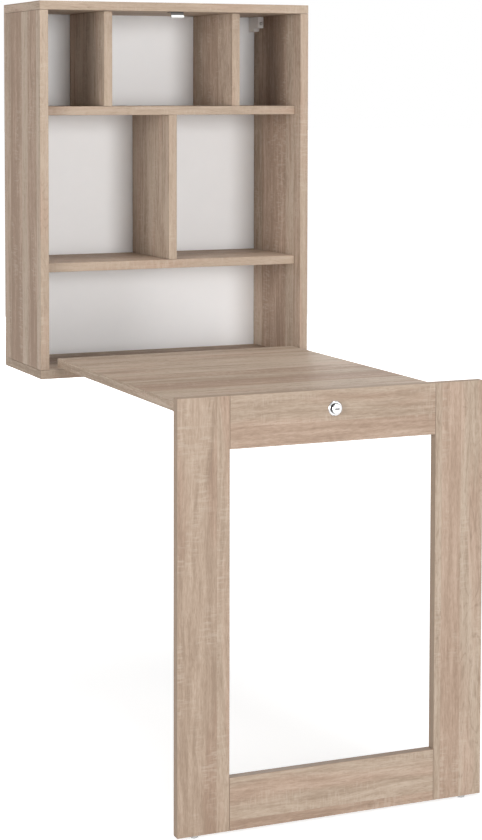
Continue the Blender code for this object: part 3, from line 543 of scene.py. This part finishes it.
def chrome(name):
    """Chrome: polished faces, flanks with a painted dark reflection, handling marks, painted shade in
    corners.
    """
    shader = Shader(name)
    marks = shader.noise(240, detail=4, roughness=0.65)
    scratches = shader.between(shader.noise((150, 150, 5200), detail=2), 0.58, 0.70)
    face = shader.clouded(marks, CHROME_DULL, CHROME_BRIGHT)
    # Painted reflection: faces square to Y keep the bright chrome, the turned flanks get a dark reflection
    # painted in.
    flank_reflection = shader.clouded(marks, FLANK_REFLECTION_DARK, FLANK_REFLECTION_PALE)
    colour = shader.mix(shader.facing_axis(Y), flank_reflection, face)
    # Painted shade: the chrome darkens deep in corners and slots, where shade falls.
    colour = shader.layer(colour, shader.corners(0.003), 0.7, CORNER_SHADE)
    roughness = shader.between(shader.weighted((marks, 0.6), (scratches, 0.4)), 0.2, 0.9, 0.09, 0.24)
    shader.bump(scratches, distance=0.00001, strength=0.3)
    return shader.finish(colour, roughness, 1.0)


def dark_lacquer(name):
    """Dark lacquered sheet steel, rubbed bare along its edges."""
    shader = Shader(name)
    cloud = shader.noise(180, detail=3)
    worn = shader.maths("MULTIPLY", shader.edges(0.0003), shader.between(cloud, 0.42, 0.60))
    colour = shader.clouded(cloud, STEEL_DARK, STEEL_PALE)
    colour = shader.layer(colour, worn, 0.7, STEEL_BARE)
    shader.bump(shader.noise(1500, detail=2), distance=0.00003, strength=0.4)
    return shader.finish(colour, shader.varied(cloud, 0.40, 0.58), worn)


def plastic(name, low, high, gloss):
    """Moulded plastic with a fine spark-eroded skin, a slight tint drift and paler edges."""
    shader = Shader(name)
    drift = shader.noise(45, detail=3)
    skin = shader.noise(2600, detail=2)
    colour = shader.clouded(drift, low, high)
    pale = tuple(min(1.0, value * PLASTIC_EDGE) for value in high)
    colour = shader.layer(colour, shader.edges(0.0005), 0.5, pale)
    shader.bump(skin, distance=0.00003, strength=0.5)
    return shader.finish(colour, shader.varied(drift, gloss, gloss + PLASTIC_SPREAD))


MATERIALS = {
    "oak_upright": oak("oak_upright", Z, X, FRAME_FIGURE, FRAME_PLANKS, False),
    "oak_level": oak("oak_level", X, Y, FRAME_FIGURE, FRAME_PLANKS, False),
    "back_board": back_board("back_board"),
    "tenon_birch": birch("tenon_birch"),
    "zinc_steel": zinc("zinc_steel"),
    "lock_chrome": chrome("lock_chrome"),
    "strike_steel": dark_lacquer("strike_steel"),
    "bumper_plastic": plastic("bumper_plastic", (0.80, 0.80, 0.79), (0.88, 0.88, 0.87), 0.40),
    "hanger_plastic": plastic("hanger_plastic", (0.86, 0.85, 0.83), (0.90, 0.89, 0.87), 0.42),
    "glide_plastic": plastic("glide_plastic", (0.40, 0.40, 0.395), (0.48, 0.48, 0.475), 0.42),
}
BOARD_UPRIGHT = oak("oak_board_upright", Z, X, BOARD_FIGURE, BOARD_PLANKS, True)
BOARD_LEVEL = oak("oak_board_level", X, Y, BOARD_FIGURE, BOARD_PLANKS, True, LEVEL_BOARD_SPREAD)
BROAD_BOARDS = {
    "left_side_panel": BOARD_UPRIGHT,
    "right_side_panel": BOARD_UPRIGHT,
    "upper_left_divider": BOARD_UPRIGHT,
    "upper_right_divider": BOARD_UPRIGHT,
    "middle_divider": BOARD_UPRIGHT,
    "top_panel": BOARD_LEVEL,
    "bottom_panel": BOARD_LEVEL,
    "upper_shelf": BOARD_LEVEL,
    "lower_shelf": BOARD_LEVEL,
    "desk_leaf": BOARD_LEVEL,
}


def finish_nodes():
    """Gives every CAD node the finish of its slot, and the broad boards their bolder oak."""
    for entry in frame["record"]["subparts"]:
        slots = NODES[entry["node"]].data.materials
        slots.clear()
        slots.append(BROAD_BOARDS.get(entry["node"], MATERIALS[entry["material_slot"]]))


def new_piece(name, bm, body, slot):
    mesh = bpy.data.meshes.new(name)
    bm.to_mesh(mesh)
    bm.free()
    mesh.materials.append(MATERIALS[slot])
    obj = bpy.data.objects.new(name, mesh)
    bpy.context.scene.collection.objects.link(obj)
    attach(obj, body)


def ring_of(bm, place, sides, radius, height, outline):
    """A ring of points round Z; the outline's shares of the radius repeat along it."""
    points = []
    for index in range(sides):
        angle = 2 * math.pi * index / sides
        reach = radius * outline[index % len(outline)]
        point = Vector((reach * math.cos(angle), reach * math.sin(angle), height))
        points.append(bm.verts.new(place @ point))
    return points


def add_turned(bm, place, sides, *rings):
    """A closed turned piece from its outer end inward; each ring is a radius, a height and an outline."""
    loops = [ring_of(bm, place, sides, *ring) for ring in rings]
    bm.faces.new(loops[0])
    for upper, lower in zip(loops, loops[1:]):
        for index in range(sides):
            after = (index + 1) % sides
            bm.faces.new((upper[index], lower[index], lower[after], upper[after]))
    bm.faces.new(list(reversed(loops[-1])))


def add_screw(bm, place):
    """A countersunk screw, its head's face at the place and its shank below, with a cross recess."""
    add_turned(
        bm,
        place,
        SCREW_SIDES,
        (SCREW_HEAD_RADIUS * SCREW_FLOOR, -SCREW_RECESS, CROSS),
        (SCREW_HEAD_RADIUS * SCREW_MOUTH, 0.0, CROSS),
        (SCREW_HEAD_RADIUS * SCREW_RIM, 0.0, ROUND),
        (SCREW_HEAD_RADIUS, -SCREW_HEAD_HEIGHT * SCREW_EDGE_DEPTH, ROUND),
        (SCREW_SHANK_RADIUS, -SCREW_HEAD_HEIGHT, ROUND),
        (SCREW_SHANK_RADIUS, -SCREW_LENGTH, ROUND),
    )


def add_drive(bm, place, radius):
    """A thin face with a cross recess, laid on the plain head of a turned screw."""
    add_turned(
        bm,
        place,
        SCREW_SIDES,
        (radius * DRIVE_FLOOR, DRIVE_HEIGHT * DRIVE_FLOOR_LEVEL, CROSS),
        (radius * DRIVE_MOUTH, DRIVE_HEIGHT, CROSS),
        (radius * DRIVE_RIM, DRIVE_HEIGHT, ROUND),
        (radius, DRIVE_HEIGHT * DRIVE_EDGE_LEVEL, ROUND),
        (radius, DRIVE_GAP, ROUND),
    )


def add_nail(bm, place):
    """A nail's low head, sunk a little into the panel."""
    add_turned(
        bm,
        place,
        NAIL_SIDES,
        (NAIL_RADIUS * NAIL_RIM, NAIL_HEIGHT, ROUND),
        (NAIL_RADIUS, NAIL_HEIGHT * NAIL_EDGE_LEVEL, ROUND),
        (NAIL_RADIUS, -NAIL_HEIGHT, ROUND),
    )


def facing(direction, point):
    turn = Vector((0, 0, 1)).rotation_difference(Vector(direction)).to_matrix().to_4x4()
    return Matrix.Translation(point) @ turn


def head_of(node, outward):
    """The middle of a screw's outer end, turned outward along an axis."""
    low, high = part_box(node)
    point = (low + high) / 2
    for axis, step in enumerate(outward):
        if step:
            point[axis] = high[axis] if step > 0 else low[axis]
    return facing(outward, point)


def evenly(first, last, count):
    return [first + (last - first) * index / (count - 1) for index in range(count)]


def plate_screws(bm, node, across, free_end, outward):
    """Screws in a hinge plate: across is its wing's axis, free_end its far side, outward its normal."""
    low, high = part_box(node)
    centre = (low + high) / 2
    axis = next(index for index, step in enumerate(outward) if step)
    for index in range(HINGE_SCREWS):
        point = centre.copy()
        point.x += (index - (HINGE_SCREWS - 1) / 2) * HINGE_SCREW_SPACING
        if free_end > 0:
            point[across] = high[across] - HINGE_SCREW_EDGE
        else:
            point[across] = low[across] + HINGE_SCREW_EDGE
        seat = high[axis] if outward[axis] < 0 else low[axis]
        point[axis] = seat + outward[axis] * HINGE_SHEET
        add_screw(bm, facing(outward, point))


def make_hinge_screws():
    cabinet_screws = bmesh.new()
    leaf_screws = bmesh.new()
    frame_screws = bmesh.new()
    for side in ("left", "middle", "right"):
        plate_screws(cabinet_screws, f"desk_hinge_{side}_base_plate", Y, 1, (0, 0, 1))
        plate_screws(leaf_screws, f"desk_hinge_{side}_leaf_plate", Z, 1, (0, 1, 0))
    for side in ("left", "right"):
        plate_screws(leaf_screws, f"leg_hinge_{side}_leaf_plate", Y, 1, (0, 0, -1))
        plate_screws(frame_screws, f"leg_hinge_{side}_frame_plate", Z, -1, (0, 1, 0))
    new_piece("cabinet_hinge_screws", cabinet_screws, "cabinet", "zinc_steel")
    new_piece("leaf_hinge_screws", leaf_screws, "desk_leaf", "zinc_steel")
    new_piece("frame_hinge_screws", frame_screws, "leg_frame", "zinc_steel")


def make_screw_drives():
    cabinet_drives = bmesh.new()
    for side in ("left", "right"):
        add_drive(cabinet_drives, head_of(f"{side}_hanger_screw", (0, -1, 0)), HANGER_CROWN_RADIUS)
        add_drive(cabinet_drives, head_of(f"{side}_strike_screw", (0, 0, -1)), STRIKE_HEAD_RADIUS)
    new_piece("cabinet_screw_drives", cabinet_drives, "cabinet", "zinc_steel")
    cam_drive = bmesh.new()
    add_drive(cam_drive, head_of("cam_screw", (0, 1, 0)), CAM_CROWN_RADIUS)
    new_piece("cam_screw_drive", cam_drive, "lock_cylinder", "zinc_steel")


def make_nails():
    nails = bmesh.new()
    low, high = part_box("back_panel")
    spots = []
    for x in evenly(low.x + NAIL_FROM_SIDE, high.x - NAIL_FROM_SIDE, NAILS_ACROSS):
        spots.append((x, high.z - NAIL_INSET))
        spots.append((x, low.z + NAIL_INSET))
    for z in evenly(low.z + NAIL_FROM_BOTTOM, high.z - NAIL_FROM_TOP, NAILS_UPWARD):
        spots.append((high.x - NAIL_INSET, z))
        spots.append((low.x + NAIL_INSET, z))
    for x, z in spots:
        add_nail(nails, facing((0, 1, 0), Vector((x, high.y, z))))
    new_piece("back_panel_nails", nails, "cabinet", "zinc_steel")


def seen_directly(tree):
    """1 for rays from the camera, off metal and through glass, 0 for the light on other surfaces."""
    path = tree.nodes.new("ShaderNodeLightPath")
    total = path.outputs["Is Camera Ray"]
    for name in ("Is Glossy Ray", "Is Transmission Ray"):
        larger = tree.nodes.new("ShaderNodeMath")
        larger.operation = "MAXIMUM"
        tree.links.new(total, larger.inputs[0])
        tree.links.new(path.outputs[name], larger.inputs[1])
        total = larger.outputs["Value"]
    return total


def make_floor():
    """A pale studio floor that keeps the desk's soft shadow and goes over to plain white farther out."""
    bm = bmesh.new()
    bmesh.ops.create_grid(bm, x_segments=1, y_segments=1, size=FLOOR_REACH)
    mesh = bpy.data.meshes.new("floor")
    bm.to_mesh(mesh)
    bm.free()
    shader = Shader("floor")
    colour = shader.clouded(shader.noise(2, detail=2), FLOOR_DARK, FLOOR_PALE)
    shader.finish(colour, 0.9, Specular_IOR_Level=0.0)
    away = shader.node("VectorMath", operation="LENGTH")
    shader.feed(away.inputs[0], shader.place)
    glow = shader.between(away.outputs["Value"], GLOW_FROM, GLOW_TO, GLOW_NEAR, GLOW_FAR)
    shader.feed(shader.surface.inputs["Emission Color"], WHITE)
    strength = shader.maths("MULTIPLY", glow, seen_directly(shader.tree))
    shader.feed(shader.surface.inputs["Emission Strength"], strength)
    mesh.materials.append(shader.material)
    floor = bpy.data.objects.new("floor", mesh)
    floor.location = (0.0, (cad_low.y + cad_high.y) / 2, cad_low.z)
    bpy.context.scene.collection.objects.link(floor)


def make_world():
    """Even soft light all round; the camera and shiny pieces see plain white."""
    world = bpy.data.worlds.new("studio")
    bpy.context.scene.world = world
    world.use_nodes = True
    tree = world.node_tree
    light = tree.nodes["Background"]
    light.inputs["Color"].default_value = WHITE
    light.inputs["Strength"].default_value = WORLD_LIGHT
    seen = tree.nodes.new("ShaderNodeBackground")
    seen.inputs["Color"].default_value = WHITE
    seen.inputs["Strength"].default_value = 1.0
    mix = tree.nodes.new("ShaderNodeMixShader")
    tree.links.new(seen_directly(tree), mix.inputs["Fac"])
    tree.links.new(light.outputs["Background"], mix.inputs[1])
    tree.links.new(seen.outputs["Background"], mix.inputs[2])
    tree.links.new(mix.outputs["Shader"], tree.nodes["World Output"].inputs["Surface"])


def add_light(name, place, target, size, power):
    data = bpy.data.lights.new(name, "AREA")
    data.shape = "DISK"
    data.size = size
    data.energy = power
    lamp = bpy.data.objects.new(name, data)
    lamp.location = place
    lamp.rotation_euler = (Vector(target) - Vector(place)).to_track_quat("-Z", "Y").to_euler()
    bpy.context.scene.collection.objects.link(lamp)


def add_camera():
    """The photograph's place and lens; the shift keeps the uprights near plumb."""
    data = bpy.data.cameras.new("camera")
    data.sensor_width = SENSOR_WIDTH
    data.lens = LENS
    data.shift_x, data.shift_y = LENS_SHIFT
    data.clip_end = VIEW_DISTANCE
    camera = bpy.data.objects.new("camera", data)
    camera.location = CAMERA_PLACE
    camera.rotation_euler = (math.radians(90 - CAMERA_LEAN), 0.0, math.radians(CAMERA_TURN))
    bpy.context.scene.collection.objects.link(camera)
    bpy.context.scene.camera = camera


finish_nodes()
make_hinge_screws()
make_screw_drives()
make_nails()
make_floor()
make_world()
for softbox in SOFTBOXES:
    add_light(*softbox)
add_camera()
bpy.context.scene.view_settings.view_transform = "Standard"
